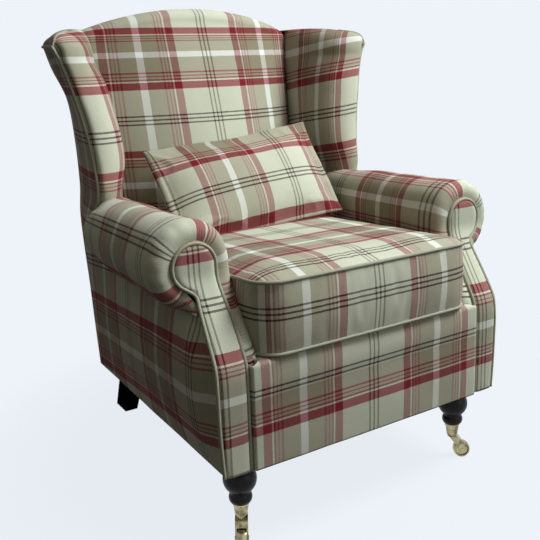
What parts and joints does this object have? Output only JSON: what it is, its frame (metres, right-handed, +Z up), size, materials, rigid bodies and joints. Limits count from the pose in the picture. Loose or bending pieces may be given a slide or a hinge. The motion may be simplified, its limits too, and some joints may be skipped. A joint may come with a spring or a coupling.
{
  "type": "chair",
  "caption": "High-backed fireside chair with wings and scroll arms in plaid wool, a loose seat cushion and a scatter cushion, turned dark front legs on brass cup castors and raked back legs",
  "frame": {"origin": "on the floor, under the middle of the overall box", "axes": "X to the right arm seen from the front, Y from the front to the back, Z up"},
  "size_m": [0.8556, 0.8209, 1.054],
  "materials": {
    "plaid_wool": "brushed twill wool in a cream, taupe and crimson plaid",
    "plaid_piping": "corded piping in the same wool",
    "frame_hardwood": "sawn, unfinished",
    "ebonised_wood": "near-black stain under a satin polish",
    "castor_brass": "aged polished brass",
    "spring_steel": "zinc plated",
    "webbing_weave": "woven jute strap",
    "deck_felt": "felt under platform cloth",
    "dust_cloth": "black non-woven cloth"
  },
  "bodies": {
    "root": {"arm_front_board_left": "frame_hardwood", "arm_front_board_right": "frame_hardwood", "arm_pad_left": "plaid_wool", "arm_pad_right": "plaid_wool", "arm_rail_left": "frame_hardwood", "arm_rail_right": "frame_hardwood", "arm_tack_rail_left": "frame_hardwood", "arm_tack_rail_right": "frame_hardwood", "back_leg_left": "ebonised_wood", "back_leg_right": "ebonised_wood", "back_lower_rail": "frame_hardwood", "back_post_left": "frame_hardwood", "back_post_right": "frame_hardwood", "back_top_rail": "frame_hardwood", "back_webbing": "webbing_weave", "castor_cup_left": "castor_brass", "castor_cup_right": "castor_brass", "castor_screws_left": "castor_brass", "castor_screws_right": "castor_brass", "corner_blocks": "frame_hardwood", "dust_cover": "dust_cloth", "facing_panel_left": "plaid_wool", "facing_panel_right": "plaid_wool", "facing_piping_left": "plaid_piping", "facing_piping_right": "plaid_piping", "front_border": "plaid_wool", "front_leg_left": "ebonised_wood", "front_leg_right": "ebonised_wood", "inside_back": "plaid_wool", "leg_bolts": "spring_steel", "outside_arm_left": "plaid_wool", "outside_arm_right": "plaid_wool", "outside_back": "plaid_wool", "seat_back_rail": "frame_hardwood", "seat_deck": "deck_felt", "seat_front_rail": "frame_hardwood", "seat_side_rail_left": "frame_hardwood", "seat_side_rail_right": "frame_hardwood", "seat_springs": "spring_steel", "spring_clips": "spring_steel", "wing_board_left": "frame_hardwood", "wing_board_right": "frame_hardwood", "wing_left": "plaid_wool", "wing_right": "plaid_wool"},
    "castor_left": {"castor_fork_left": "castor_brass", "castor_axle_left": "castor_brass"},
    "castor_right": {"castor_fork_right": "castor_brass", "castor_axle_right": "castor_brass"},
    "wheel_left": {"castor_wheel_left": "castor_brass"},
    "wheel_right": {"castor_wheel_right": "castor_brass"},
    "seat_cushion_body": {"seat_cushion": "plaid_wool"},
    "scatter_cushion_body": {"scatter_cushion": "plaid_wool"}
  },
  "joints": [
    {"name": "castor_swivel_left", "type": "hinge", "parent": "root", "child": "castor_left", "pos_m": [-0.282, -0.3385, 0.05], "axis": [0, 0, 1], "continuous": true},
    {"name": "castor_roll_left", "type": "hinge", "parent": "castor_left", "child": "wheel_left", "pos_m": [-0.29333, -0.35736, 0.019], "axis": [0.8572, -0.515, 0], "continuous": true},
    {"name": "castor_swivel_right", "type": "hinge", "parent": "root", "child": "castor_right", "pos_m": [0.282, -0.3385, 0.05], "axis": [0, 0, 1], "continuous": true},
    {"name": "castor_roll_right", "type": "hinge", "parent": "castor_right", "child": "wheel_right", "pos_m": [0.30086, -0.34983, 0.019], "axis": [0.515, 0.8572, 0], "continuous": true},
    {"name": "seat_cushion_lift", "type": "slide", "parent": "root", "child": "seat_cushion_body", "axis": [0, 0, 1], "range_m": [0, 0.68]},
    {"name": "scatter_cushion_lift", "type": "slide", "parent": "seat_cushion_body", "child": "scatter_cushion_body", "axis": [0, 0, 1], "range_m": [0, 0.56]}
  ]
}
